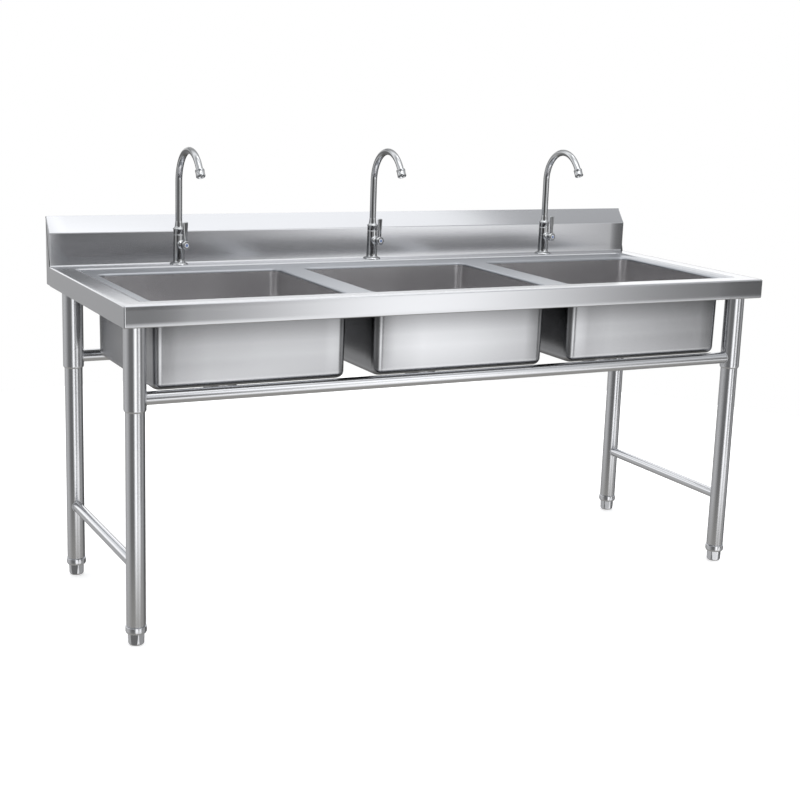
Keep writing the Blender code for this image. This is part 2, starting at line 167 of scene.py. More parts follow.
def normals(grid, along=False):
    """Unit normals of a grid whose rings are closed: the cross product of the step round the ring
    and the step from ring to ring."""
    round_ring = np.roll(grid, -1, axis=1) - np.roll(grid, 1, axis=1)
    if along:
        down = np.roll(grid, -1, axis=0) - np.roll(grid, 1, axis=0)
    else:
        down = np.gradient(grid, axis=0)
    n = np.cross(round_ring, down)
    return n / np.maximum(np.linalg.norm(n, axis=2, keepdims=True), 1e-12)


def shell(grid, wall):
    """A sheet given a wall: the grid, then the same grid moved along its normals, run backwards, so
    that the rings close into one skin."""
    return np.concatenate([grid, (grid + wall * normals(grid))[::-1]])


def framed(axis):
    """Two unit vectors square to an axis and to each other."""
    axis = np.asarray(axis, float) / np.linalg.norm(axis)
    side = np.cross([0, 1, 0] if abs(axis[1]) < 0.9 else [1, 0, 0], axis)
    side /= np.linalg.norm(side)
    return side, np.cross(axis, side), axis


def turned(profile, at, axis=(0, 0, 1), places=48, reach=None):
    """A profile of (radius, height) turned about an axis: centre + r cos t side + r sin t up + h axis.
    reach, a function of the angle, may stand in for the radius's cut-off, as flats on a round bar."""
    side, up, axis = framed(axis)
    t = np.linspace(0, 2 * np.pi, places, endpoint=False)
    profile = np.asarray(profile, float)
    r = np.broadcast_to(profile[:, :1], (len(profile), places))
    if reach is not None:
        r = np.minimum(r, reach(t)[None])
    return (np.asarray(at, float) + r[..., None] * (np.cos(t)[:, None] * side + np.sin(t)[:, None] * up)
            + profile[:, 1][:, None, None] * axis)


def piped(path, radius, places=32, square_to=(1, 0, 0)):
    """A round section carried along a flat path: point + r cos t side + r sin t (side x tangent),
    where side is the line square to the plane of the path."""
    path = np.asarray(path, float)
    ahead = np.gradient(path, axis=0)
    ahead /= np.linalg.norm(ahead, axis=1, keepdims=True)
    side = np.asarray(square_to, float)
    up = np.cross(ahead, side)
    up /= np.linalg.norm(up, axis=1, keepdims=True)
    t = np.linspace(0, 2 * np.pi, places, endpoint=False)
    r = np.broadcast_to(np.asarray(radius, float), len(path))[:, None, None]
    return path[:, None] + r * (np.cos(t)[:, None] * side + np.sin(t)[:, None] * up[:, None])


def skin(grid, round_ring=True, along=False, poles=(False, False)):
    """A grid's points and faces. Rings close on themselves, the last ring joins the first where
    along is set, and a pole closes an end with one point at the ring's centre."""
    rings, places = grid.shape[:2]
    index = np.arange(rings * places).reshape(rings, places)
    rows = np.vstack([index, index[:1]]) if along else index
    cols = np.hstack([rows, rows[:, :1]]) if round_ring else rows
    quads = np.stack([cols[:-1, :-1], cols[:-1, 1:], cols[1:, 1:], cols[1:, :-1]], axis=-1).reshape(-1, 4)
    points, faces = grid.reshape(-1, 3), quads.tolist()
    for wanted, ring, end in ((poles[0], index[0], 0), (poles[1], index[-1], -1)):
        if wanted:
            points = np.vstack([points, grid[end].mean(axis=0)])
            pair = np.stack([ring, np.roll(ring, -1)], axis=1)[:, ::-1 if end == 0 else 1]
            hub = np.full((len(ring), 1), len(points) - 1)
            faces += np.hstack([pair, hub]).tolist()
    return outward(points, faces)


def outward(points, faces):
    """Faces turned round if the volume they enclose, the sum of a . (b x c) / 6, is negative."""
    tris = np.array([(f[0], f[i], f[i + 1]) for f in faces for i in range(1, len(f) - 1)])
    a, b, c = (points[tris[:, i]] for i in range(3))
    if np.einsum("ij,ij->i", a, np.cross(b, c)).sum() < 0:
        faces = [face[::-1] for face in faces]
    return points, faces


def piece(name, skins, finish, body, nodes=(), sharp=38, second=None):
    """One object from several skins. It rides on a body and stands in for frame nodes. second, a
    finish and the numbers of the skins that take it (or a flag for every face), gives a second material."""
    points, faces, which = [], [], []
    for number, (p, f) in enumerate(skins):
        base = sum(len(x) for x in points)
        faces += [[i + base for i in face] for face in f]
        which += [int(bool(second) and number in second[1])] * len(f)
        points.append(p)
    if second and len(second[1]) == len(faces):
        which = [int(v) for v in second[1]]
    mesh = bpy.data.meshes.new(name)
    mesh.from_pydata(np.vstack(points), [], faces)
    mesh.polygons.foreach_set("use_smooth", [True] * len(faces))
    mesh.set_sharp_from_angle(angle=np.radians(sharp))
    mesh.materials.append(finish)
    if second:
        mesh.materials.append(second[0])
        mesh.polygons.foreach_set("material_index", which)
    obj = bpy.data.objects.new(name, mesh)
    bpy.context.scene.collection.objects.link(obj)
    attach(obj, body)
    if nodes:
        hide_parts(*nodes)
    return obj


# ---------------------------------------------------------------- finishes
def add(tree, kind, settings=None, **inputs):
    """One node with its settings and its inputs; an input may be a value or another node's output."""
    made = tree.nodes.new(kind)
    for key, value in (settings or {}).items():
        setattr(made, key, value)
    for key, value in inputs.items():
        socket = made.inputs[int(key[1:])] if key[0] == "i" and key[1:].isdigit() else made.inputs[key.replace("_", " ")]
        if isinstance(value, bpy.types.NodeSocket):
            tree.links.new(value, socket)
        else:
            socket.default_value = value
    return made


def blank(name):
    """A new node material with its shader and the object's own coordinates."""
    made = bpy.data.materials.new(name)
    made.use_nodes = True
    tree = made.node_tree
    return made, tree, tree.nodes["Principled BSDF"], tree.nodes.new("ShaderNodeTexCoord").outputs["Object"]


def ramp(tree, factor, stops):
    """A colour ramp with stops of (place, grey or colour)."""
    made = add(tree, "ShaderNodeValToRGB", Fac=factor)
    elements = made.color_ramp.elements
    while len(elements) < len(stops):
        elements.new(0.5)
    for element, (place, value) in zip(elements, stops):
        element.position = place
        element.color = value if isinstance(value, (list, tuple)) else (value, value, value, 1.0)
    return made.outputs["Color"]


def tinted(code, share):
    """A linear colour made lighter or darker by a share."""
    return [min(1.0, v * share) for v in list(code)[:3]] + [1.0]


def grained(name, code, stretch, rough, depth, cloud=2.4, tone=0.06, turned_sides=False, lay=None, drawn=0.5, shade=None):
    """Stainless steel with a directional grain. stretch is the number of grain lines to a metre along
    X, Y and Z, so a low number is the way the belt ran. Cloudy handling marks ride on top. Highlights
    are drawn out across the grain by drawn: along lay, or up a wall and front to back on a level face.
    shade, a function of the tree and the object coordinates, multiplies the colour; it carries painted shade."""
    made, tree, shader, place = blank(name)
    where = add(tree, "ShaderNodeMapping", Vector=place, Scale=stretch).outputs["Vector"]
    if turned_sides:
        other = add(tree, "ShaderNodeMapping", Vector=place, Scale=(stretch[1], stretch[0], stretch[2])).outputs["Vector"]
        facing = add(tree, "ShaderNodeSeparateXYZ", Vector=add(tree, "ShaderNodeNewGeometry").outputs["True Normal"])
        aside = add(tree, "ShaderNodeMath", {"operation": "ABSOLUTE"}, i0=facing.outputs["X"]).outputs[0]
        flip = add(tree, "ShaderNodeMath", {"operation": "GREATER_THAN"}, i0=aside, i1=0.7).outputs[0]
        where = add(tree, "ShaderNodeMix", {"data_type": "VECTOR"}, i0=flip, i4=where, i5=other).outputs[1]
    grain = add(tree, "ShaderNodeTexNoise", Vector=where, Scale=1.0, Detail=2.0, Roughness=0.6).outputs["Fac"]
    clouds = add(tree, "ShaderNodeTexNoise", Vector=place, Scale=cloud, Detail=5.0, Roughness=0.6).outputs["Fac"]
    mixed = add(tree, "ShaderNodeMath", {"operation": "MULTIPLY_ADD"}, i0=clouds, i1=0.5,
                i2=add(tree, "ShaderNodeMath", {"operation": "MULTIPLY"}, i0=grain, i1=0.5).outputs[0]).outputs[0]
    base = ramp(tree, mixed, [(0.3, tinted(code, 1 - tone)), (0.7, tinted(code, 1 + tone))])
    if shade:
        base = add(tree, "ShaderNodeMix", {"data_type": "RGBA", "blend_type": "MULTIPLY"}, i0=1.0, i6=base, i7=shade(tree, place)).outputs[2]
    gloss = add(tree, "ShaderNodeMapRange", Value=mixed, From_Min=0.3, From_Max=0.7, To_Min=rough[0], To_Max=rough[1]).outputs["Result"]
    bump = add(tree, "ShaderNodeBump", Strength=depth, Distance=0.0002, Height=grain).outputs["Normal"]
    up = add(tree, "ShaderNodeCombineXYZ", X=(lay or (0, 0, 1))[0], Y=(lay or (0, 0, 1))[1], Z=(lay or (0, 0, 1))[2]).outputs[0]
    if not lay:
        flat = add(tree, "ShaderNodeSeparateXYZ", Vector=add(tree, "ShaderNodeNewGeometry").outputs["True Normal"]).outputs["Z"]
        level = add(tree, "ShaderNodeMath", {"operation": "GREATER_THAN"}, i0=flat, i1=0.7).outputs[0]
        back = add(tree, "ShaderNodeCombineXYZ", Y=1.0).outputs[0]
        up = add(tree, "ShaderNodeMix", {"data_type": "VECTOR"}, i0=level, i4=up, i5=back).outputs[1]
    tree.links.new(up, shader.inputs["Tangent"])
    shader.inputs["Anisotropic"].default_value = drawn
    shader.inputs["Metallic"].default_value = 1.0
    tree.links.new(base, shader.inputs["Base Color"])
    tree.links.new(gloss, shader.inputs["Roughness"])
    tree.links.new(bump, shader.inputs["Normal"])
    return made


def painted_bowl_shade(tree, place):
    """Painted shade on a bowl's outside, a stand-in for the dark panels round it in a studio: by height, dark under the
    deck and on the bottom corner with a painted highlight line just above it, and by place across each bowl, dark
    towards both upright corners."""
    part = add(tree, "ShaderNodeSeparateXYZ", Vector=place)
    low, high = box("bowl_middle")
    pitch = float(box("bowl_right")[0][0] - low[0])
    tall = float(high[2] - low[2])
    up = add(tree, "ShaderNodeMapRange", Value=part.outputs["Z"], From_Min=float(low[2]), From_Max=float(high[2])).outputs["Result"]
    # Painted shade by height: dark at the bottom corner, a painted highlight line just above it, then darker towards
    # the deck.
    rise = ramp(tree, up, [(0.0, 0.30), (0.045, 0.42), (0.085, 1.0), (0.12, 0.86), (0.35, 1.0), (0.50, 0.92), (0.63, 0.66),
                           (0.74, 0.46), (1.0, 0.35)])
    across = add(tree, "ShaderNodeMath", {"operation": "MULTIPLY_ADD"}, i0=part.outputs["X"], i1=1 / pitch, i2=2.5).outputs[0]
    turn = add(tree, "ShaderNodeMath", {"operation": "FRACT"}, i0=across).outputs[0]
    edge = (1 - float(high[0] - low[0] - 0.018) / pitch) / 2
    # Painted shade across each bowl, darker towards both upright corners.
    shade_across = ramp(tree, turn, [(edge, 0.55), (edge + 0.05, 0.80), (0.30, 1.0), (0.55, 0.95), (0.80, 0.82), (1 - edge - 0.04, 0.78),
                             (1 - edge, 0.60)])
    return add(tree, "ShaderNodeMix", {"data_type": "RGBA", "blend_type": "MULTIPLY"}, i0=1.0, i6=rise, i7=shade_across).outputs[2]


def finishes():
    """Every finish of the sink, made once and kept by name."""
    have = bpy.data.materials.get("brushed_stainless_sheet")
    if not have:
        c = bpy.context.scene.sink_colours
        # 304 sheet, belt brushed along its length: the lines blur a reflection across the grain and keep it
        # crisp along it. Real lines are 0.1 mm apart; these are 2 mm, so that they show at arm's length.
        grained("brushed_stainless_sheet", c.sheet, (7.0, 480.0, 480.0), (0.185, 0.20), 0.0005, tone=0.015, turned_sides=True, drawn=0.35)
        # Wet deck, brushed after pressing: a little duller and darker than the rim round it.
        grained("satin_wet_deck", c.deck, (9.0, 420.0, 420.0), (0.30, 0.33), 0.002, tone=0.02, drawn=0.35)
        # Deep drawn bowl, satin polished by hand: a finer, less regular grain and a softer, greyer gloss.
        # The outside of the drawn bowls carries painted shade and a painted highlight line, by height and across each
        # bowl.
        grained("satin_drawn_bowl", c.drawn, (260.0, 260.0, 22.0), (0.24, 0.27), 0.002, cloud=4.0, tone=0.02, drawn=0.3, shade=painted_bowl_shade)
        grained("satin_bowl_inside", c.inside, (260.0, 260.0, 22.0), (0.22, 0.25), 0.002, cloud=4.0, tone=0.03, drawn=0.3)
        # Welded tube, polished round its girth: fine rings across the length, with a clear long highlight.
        grained("polished_tube_upright", c.tube, (12.0, 12.0, 500.0), (0.23, 0.25), 0.0005, cloud=5.0, tone=0.012, drawn=0.45, lay=(0, 0, 1))
        grained("polished_tube_lengthwise", c.tube, (500.0, 12.0, 12.0), (0.13, 0.15), 0.0005, cloud=5.0, tone=0.012, drawn=0.45, lay=(1, 0, 0))
        grained("polished_tube_crosswise", c.tube, (12.0, 500.0, 12.0), (0.13, 0.15), 0.0005, cloud=5.0, tone=0.012, drawn=0.45, lay=(0, 1, 0))
        # Weld bead, brushed back: duller, with small ripples 1.5 mm apart.
        grained("dressed_weld", c.tube, (650.0, 650.0, 650.0), (0.26, 0.38), 0.15, cloud=30.0, tone=0.10)
        chrome_plate(c.chrome)
        enamel("white_index_enamel", c.button)
        enamel("blue_index_enamel", c.mark)
        moulded("black_rubber_washer", linear("1C1C1D"), (0.62, 0.85), 900.0)
        moulded("grey_moulded_nylon", linear("77797B"), (0.38, 0.52), 500.0)
    return bpy.data.materials


def chrome_plate(code):
    """Bright chrome plate on polished brass: a mirror with faint wiping smears 20 mm long and very
    slight orange peel. Bands by how far the surface turns away stand for the black flags of a studio,
    which give plated fittings their dark edges."""
    made, tree, shader, place = blank("bright_chrome_plate")
    smear = add(tree, "ShaderNodeTexNoise", Vector=place, Scale=55.0, Detail=3.0, Roughness=0.5, Distortion=0.4).outputs["Fac"]
    peel = add(tree, "ShaderNodeTexNoise", Vector=place, Scale=420.0, Detail=1.0).outputs["Fac"]
    gloss = add(tree, "ShaderNodeMapRange", Value=smear, From_Min=0.35, From_Max=0.75, To_Min=0.035, To_Max=0.10).outputs["Result"]
    shader.inputs["Metallic"].default_value = 1.0
    base = ramp(tree, smear, [(0.3, tinted(code, 1.0)), (0.8, tinted(code, 0.94))])
    turned_away = add(tree, "ShaderNodeLayerWeight", Blend=0.5).outputs["Facing"]
    flags = ramp(tree, turned_away, [(0.0, 0.16), (0.03, 0.26), (0.07, 0.90), (0.16, 1.0), (0.26, 0.50), (0.38, 0.85), (0.55, 0.25),
                                     (1.0, 0.08)])
    shown = add(tree, "ShaderNodeMix", {"data_type": "RGBA", "blend_type": "MULTIPLY"}, i0=1.0, i6=base, i7=flags).outputs[2]
    tree.links.new(shown, shader.inputs["Base Color"])
    tree.links.new(gloss, shader.inputs["Roughness"])
    tree.links.new(add(tree, "ShaderNodeBump", Strength=0.008, Distance=0.0002, Height=peel).outputs["Normal"], shader.inputs["Normal"])
    return made


def enamel(name, code):
    """Stove enamel on the index button: glossy, with a little unevenness in colour."""
    made, tree, shader, place = blank(name)
    cloud = add(tree, "ShaderNodeTexNoise", Vector=place, Scale=240.0, Detail=2.0).outputs["Fac"]
    tree.links.new(ramp(tree, cloud, [(0.3, tinted(code, 0.93)), (0.7, tinted(code, 1.0))]), shader.inputs["Base Color"])
    shader.inputs["Roughness"].default_value = 0.18
    shader.inputs["Coat Weight"].default_value = 0.6
    shader.inputs["Coat Roughness"].default_value = 0.05
    return made


def moulded(name, code, rough, grit):
    """Moulded rubber or nylon: a matt skin with the tool's fine spark texture."""
    made, tree, shader, place = blank(name)
    spark = add(tree, "ShaderNodeTexNoise", Vector=place, Scale=grit, Detail=3.0, Roughness=0.6).outputs["Fac"]
    cloud = add(tree, "ShaderNodeTexNoise", Vector=place, Scale=30.0, Detail=3.0).outputs["Fac"]
    tree.links.new(ramp(tree, cloud, [(0.3, tinted(code, 0.85)), (0.7, tinted(code, 1.12))]), shader.inputs["Base Color"])
    tree.links.new(add(tree, "ShaderNodeMapRange", Value=spark, To_Min=rough[0], To_Max=rough[1]).outputs["Result"],
                   shader.inputs["Roughness"])
    tree.links.new(add(tree, "ShaderNodeBump", Strength=0.25, Distance=0.0003, Height=spark).outputs["Normal"],
                   shader.inputs["Normal"])
    return made


# ---------------------------------------------------------------- where the bowls are
def opening(side):
    """x0, x1, y0, y1 of a bowl's opening, from the frame's own bowl with its seam flange left off."""
    low, high = box(f"bowl_{side}")
    return np.array([low[0] + 0.009, high[0] - 0.009, low[1] + 0.009, high[1] - 0.009])


def inset(bounds, by):
    """A rectangle for each inset: x0, x1, y0, y1 drawn in on all sides."""
    return np.asarray(bounds)[None] + np.asarray(by, float)[:, None] * np.array([1, -1, 1, -1])


def deck_height():
    return TOP_HIGH[2] - sizes().step


class SINK_OT_worktop(bpy.types.Operator):
    """Worktop sheet: apron, rolled rim, slope to the wet deck and a rolled mouth for each bowl"""
    bl_idname = "sink.worktop"
    bl_label = "Worktop"

    def execute(self, context):
        s = sizes()
        deck, rim, low = deck_height(), TOP_HIGH[2], TOP_LOW[2]
        edge = np.array([TOP_LOW[0], TOP_HIGH[0], TOP_LOW[1], TOP_HIGH[1]])
        bend = arc(180, 270, 5)
        crown = arc(180, 90, 7)
        wave = np.linspace(0, 1, 9)
        dip = (1 - np.cos(np.pi * wave)) / 2
        # Rings from the return under the apron, round the fold, up the apron, over the rolled edge,
        # across the rim and down a cosine slope to the wet deck.
        rows = np.vstack([
            [[0.012, low + 0.0002], [0.006, low + 0.0002]],
            np.stack([0.002 + 0.002 * bend[::-1, 0], low + 0.0022 + 0.002 * bend[::-1, 1]], axis=1),
            [[0.0, low + 0.012], [0.0, (low + rim) / 2], [0.0, rim - 0.012]],
            np.stack([s.edge + s.edge * crown[:, 0], rim - s.edge + s.edge * crown[:, 1]], axis=1),
            [[0.015, rim], [0.030, rim], [s.rim - 0.004, rim]],
            np.stack([s.rim + s.slope * wave, rim - (s.step - 0.00006) * dip], axis=1),
            [[s.rim + s.slope + 0.002, deck + 0.00006], [s.rim + s.slope + 0.0025, deck - 0.0003]]])
        radius = np.interp(rows[:, 0], [0, 0.004, s.rim, s.rim + s.slope], [0.0035, 0.003, 0.010, 0.012])
        band = raised(outlines(inset(edge, rows[:, 0]), radius), rows[:, 1])
        skins = [skin(shell(band, s.sheet), along=True)]
        # A cell of wet deck round each bowl: rings from the cell's sharp corners to the rolled mouth.
        reach = s.rim + s.slope - 0.002
        mouths = [opening(side) for side in SIDES]
        joins = [edge[0] + reach, (mouths[0][1] + mouths[1][0]) / 2, (mouths[1][1] + mouths[2][0]) / 2, edge[1] - reach]
        lip = arc(90, 180, 7)
        for mouth, x0, x1 in zip(mouths, joins[:-1], joins[1:]):
            cell = outlines(np.array([[x0, x1, edge[2] + reach, edge[3] - reach]]), 0.008, 1.0)
            start = outlines(inset(mouth, [-s.roll]), s.corner + s.roll)
            blend = np.linspace(0, 1, 5)[:-1, None, None]
            flat = cell * (1 - blend) + start * blend
            out = -s.roll * (1 + lip[:, 0])
            roll = outlines(inset(mouth, np.append(out, 0.0)), np.append(s.corner - out, s.corner))
            heights = np.concatenate([[deck] * 4, deck - s.roll * (1 - lip[:, 1]), [deck - s.roll - 0.0012]])
            grid = raised(np.concatenate([flat, roll]), heights)
            skins.append(skin(shell(grid, s.sheet), along=True))
        piece("worktop_sheet", skins, finishes()["brushed_stainless_sheet"], "stand", ["worktop"],
              second=(finishes()["satin_wet_deck"], [1, 2, 3]))
        return {"FINISHED"}


class SINK_OT_backsplash(bpy.types.Operator):
    """Splash-back: upright front, folded slope, closed ends and a small cove at its foot"""
    bl_idname = "sink.backsplash"
    bl_label = "Splash-back"

    def execute(self, context):
        s = sizes()
        y0, y1 = SPLASH_LOW[1], SPLASH_HIGH[1]
        low, crest, rim = SPLASH_LOW[2], SPLASH_HIGH[2], TOP_HIGH[2]
        knee = rim + 0.087
        cove = arc(270, 360, 6) * 0.004 + np.array([y0 - 0.004, rim + 0.0042])
        corners = np.array([[y0, knee], [y1, crest], [y1, low], [y0 + 0.0004, low]])
        before = np.array([[y0, rim + 0.02], [y0, knee], [y1, crest], [y1, low]])
        after = np.array([[y1, crest], [y1, low], [y0 + 0.0004, low], [y0 + 0.0004, rim]])
        # Each fold is a curve (1-t)^2 a + 2t(1-t) corner + t^2 b between points either side of it.
        t = np.linspace(0, 1, 7)[None, :, None]
        def toward(far):
            way = far - corners
            return corners + way / np.linalg.norm(way, axis=1, keepdims=True) * s.fold
        a, b, c = toward(before)[:, None], toward(after)[:, None], corners[:, None]
        folds = ((1 - t) ** 2 * a + 2 * t * (1 - t) * c + t ** 2 * b).reshape(-1, 2)
        outline = np.vstack([cove, [[y0, rim + 0.02], [y0, rim + 0.05]], folds, [[y0 + 0.0004, rim - 0.001]]])
        ahead = np.roll(outline, -1, axis=0) - np.roll(outline, 1, axis=0)
        square = np.stack([ahead[:, 1], -ahead[:, 0]], axis=1) / np.linalg.norm(ahead, axis=1, keepdims=True)
        # The ends are rolled: the outline is drawn in by r (1 - sin) as it nears the end by r (1 - cos).
        end = arc(0, 90, 6)
        r = 0.0022
        drawn = np.concatenate([r * (1 - end[:, 1]), [0.0] * 9, r * (1 - end[::-1, 1])])
        x = np.concatenate([SPLASH_LOW[0] + r * (1 - end[:, 0]), np.linspace(SPLASH_LOW[0] + 0.05, SPLASH_HIGH[0] - 0.05, 9),
                            SPLASH_HIGH[0] - r * (1 - end[::-1, 0])])
        flat = outline[None] + drawn[:, None, None] * square[None]
        grid = np.concatenate([np.broadcast_to(x[:, None, None], flat.shape[:2] + (1,)), flat], axis=2)
        points, faces = skin(grid)
        places = len(outline)
        caps = [list(range(places))[::-1], list(range(len(points) - places, len(points)))]
        if faces[0] != [0, 1, places + 1, places]:
            caps = [cap[::-1] for cap in caps]
        piece("backsplash_sheet", [(points, faces + caps)], finishes()["brushed_stainless_sheet"], "stand", ["backsplash"])
        return {"FINISHED"}


class SINK_OT_bowls(bpy.types.Operator):
    """Three drawn bowls with tapered walls, rolled floors that fall to the drain and a drain seat"""
    bl_idname = "sink.bowls"
    bl_label = "Bowls"

    def execute(self, context):
        s = sizes()
        deck = deck_height()
        for side in SIDES:
            mouth = opening(side)
            under = box(f"bowl_{side}")[0][2]
            floor = under + 0.0015
            roll = arc(180, 270, 9)
            # Walls: rings drawn in by a taper, then round the floor roll.
            wall = np.linspace(0, 1, 6)[:-1]
            start = floor + s.fall + 0.0010 + s.floor_roll
            draw = np.concatenate([0.002 * wall, 0.002 + s.floor_roll * (1 + roll[:, 0])])
            height = np.concatenate([deck - s.roll - 0.0012 - (deck - s.roll - 0.0012 - start) * wall,
                                     start + s.floor_roll * roll[:, 1]])
            corner = np.maximum(s.corner - 0.95 * draw, 0.006)
            walls = outlines(inset(mouth, draw), corner)
            # Floor: the last ring blends into a circle by its own directions from the drain.
            centre = np.array([(mouth[0] + mouth[1]) / 2, (mouth[2] + mouth[3]) / 2])
            last = walls[-1]
            way = last - centre
            way /= np.linalg.norm(way, axis=1, keepdims=True)
            mix = np.linspace(0, 1, 9)[1:, None, None]
            plate = last * (1 - mix) + (centre + 0.067 * way) * mix
            seat_r = np.array([0.0655, 0.0635, 0.0610, 0.0590, 0.0575, 0.0520, 0.0452])
            seat_z = np.array([0.0009, 0.0006, 0.0002, 0.0, 0.0, 0.0, 0.0])
            seat = centre + seat_r[:, None, None] * way
            rings = np.concatenate([walls, plate, seat])
            heights = np.concatenate([height, floor + 0.0010 + s.fall * (1 - mix[:, 0, 0]), floor + seat_z])
            grid = raised(rings, heights)
            points, faces = skin(shell(grid, s.sheet), along=True)
            places = grid.shape[1] * (len(grid) - 1)
            inside = [number >= places for number in range(len(faces))]
            piece(f"drawn_bowl_{side}", [(points, faces)], finishes()["satin_drawn_bowl"], "stand", [f"bowl_{side}"],
                  second=(finishes()["satin_bowl_inside"], inside))
        return {"FINISHED"}


def saddle(at, axis, reach, bar, post, places=40):
    """Ring where a bar meets an upright post: the bar's circle carried along its axis to
    sqrt(post^2 - (bar cos t)^2) short of the post's centre line."""
    side, up, axis = framed(axis)
    level = side if abs(side[2]) < 0.5 else up
    other = np.cross(axis, level)
    t = np.linspace(0, 2 * np.pi, places, endpoint=False)[:, None]
    back = np.sqrt(post ** 2 - (bar * np.cos(t)) ** 2)
    return np.asarray(at) + bar * np.cos(t) * level + bar * np.sin(t) * other + (reach - back) * axis


def bar_between(name, start, end, bar, post, finish, node):
    """A round bar coped on to the posts at both ends, and a weld bead round each joint."""
    start, end = np.asarray(start, float), np.asarray(end, float)
    axis = end - start
    span = np.linalg.norm(axis)
    near = saddle(end, -axis, span, bar, post)
    far = saddle(start, axis, span, bar, post)
    blend = np.linspace(0, 1, 25)[:, None, None]
    # Both saddles are made from the same side vectors, mirrored, so places are matched by order.
    mirror = np.roll(near[::-1], 1, axis=0)
    near = min((np.roll(mirror, n, axis=0) for n in range(len(near))), key=lambda ring: np.abs(np.cross(ring - far, axis)).sum())
    grid = near * (1 - blend) + far * blend
    piece(name, [skin(grid, poles=(True, True))], finish, "stand", [node])
    beads = []
    for ring, centre in ((near, start), (far, end)):
        ahead = np.roll(ring, -1, axis=0) - np.roll(ring, 1, axis=0)
        ahead /= np.linalg.norm(ahead, axis=1, keepdims=True)
        out = ring - ring.mean(axis=0)
        out -= (out * ahead).sum(axis=1, keepdims=True) * ahead
        out /= np.linalg.norm(out, axis=1, keepdims=True)
        over = np.cross(ahead, out)
        t = np.linspace(0, 2 * np.pi, 10, endpoint=False)
        r = sizes().bead * (1 + 0.10 * np.cos(np.arange(len(ring)) * 2.2))[:, None, None]
        bead = ring[:, None] + r * (np.cos(t)[None, :, None] * out[:, None] + np.sin(t)[None, :, None] * over[:, None])
        beads.append(skin(bead, along=True))
    piece(name + "_welds", beads, finishes()["dressed_weld"], "stand", ())


class SINK_OT_underframe(bpy.types.Operator):
    """Sleeves, leg tubes, collars, rails and crossbars of the under-frame"""
    bl_idname = "sink.underframe"
    bl_label = "Under-frame"

    def execute(self, context):
        have = finishes()
        upright = have["polished_tube_upright"]
        posts = {}
        for label in ("front_left", "front_right", "rear_left", "rear_right"):
            low, high = box(f"sleeve_{label}")
            x, y = (low + high)[:2] / 2
            r, z = (high[0] - low[0]) / 2, low[2]
            leg_low, leg_high = box(f"leg_{label}")
            leg = (leg_high[0] - leg_low[0]) / 2
            posts[label] = (x, y, r, leg)
            neck = arc(0, 90, 6)
            # Sleeve: a straight wall, a neck drawn in by a quarter turn, and the bore behind it.
            sleeve = np.vstack([
                [[r, high[2]], [r, z + 0.05], [r, z + 0.0065]],
                np.stack([r - 0.0022 + 0.0022 * neck[:, 0], z + 0.0062 - 0.0045 * neck[:, 1]], axis=1),
                [[r - 0.0026, z + 0.0006], [leg + 0.0006, z], [leg + 0.0003, z + 0.0006], [leg + 0.0003, z + 0.02],
                 [r - 0.0015, z + 0.03], [r - 0.0015, high[2]]]])
            piece(f"sleeve_tube_{label}", [skin(turned(sleeve, (x, y, 0), places=64), along=True)], upright, "stand",
                  [f"sleeve_{label}"])
            z0, z1 = leg_low[2], leg_high[2]
            tube = [[leg, z1], [leg, (z0 + z1) / 2], [leg, z0 + 0.001], [leg - 0.0006, z0], [leg - 0.0013, z0],
                    [leg - 0.0015, z0 + 0.001], [leg - 0.0015, z1]]
            piece(f"leg_tube_{label}", [skin(turned(tube, (x, y, 0), places=64), along=True)], upright, "stand",
                  [f"leg_{label}"])
            low, high = box(f"insert_{label}")
            r, z = (high[0] - low[0]) / 2, low[2]
            top = z0 - 0.0003
            swell = arc(90, 0, 5)
            collar = np.vstack([
                [[0.0066, top + 0.02], [leg - 0.0020, top + 0.02], [leg - 0.0018, top]],
                np.stack([r - 0.0012 + 0.0012 * swell[:, 0], top - 0.0012 + 0.0012 * swell[:, 1]], axis=1),
                [[r, z + 0.0050], [r - 0.0005, z + 0.0032], [r - 0.0022, z + 0.0004], [r - 0.0030, z], [0.0066, z]]])
            piece(f"foot_collar_{label}", [skin(turned(collar, (x, y, 0), places=64), along=True)], upright, "stand",
                  [f"insert_{label}"])
        for end, reach in (("front", "polished_tube_lengthwise"), ("rear", "polished_tube_lengthwise")):
            low, high = box(f"rail_{end}")
            y, z = (low + high)[1:] / 2
            left, right = posts[f"{end}_left"], posts[f"{end}_right"]
            bar_between(f"rail_tube_{end}", (left[0], y, z), (right[0], y, z), (high[2] - low[2]) / 2, left[2],
                        have[reach], f"rail_{end}")
        for side in ("left", "right"):
            low, high = box(f"crossbar_{side}")
            x, z = (low[0] + high[0]) / 2, (low[2] + high[2]) / 2
            front, rear = posts[f"front_{side}"], posts[f"rear_{side}"]
            bar_between(f"crossbar_tube_{side}", (x, front[1], z), (x, rear[1], z), (high[2] - low[2]) / 2, front[3],
                        have["polished_tube_crosswise"], f"crossbar_{side}")
            shown = frame["nodes"][f"channel_{side}"]
            shown.data.materials.clear()
            shown.data.materials.append(have["brushed_stainless_sheet"])
        return {"FINISHED"}


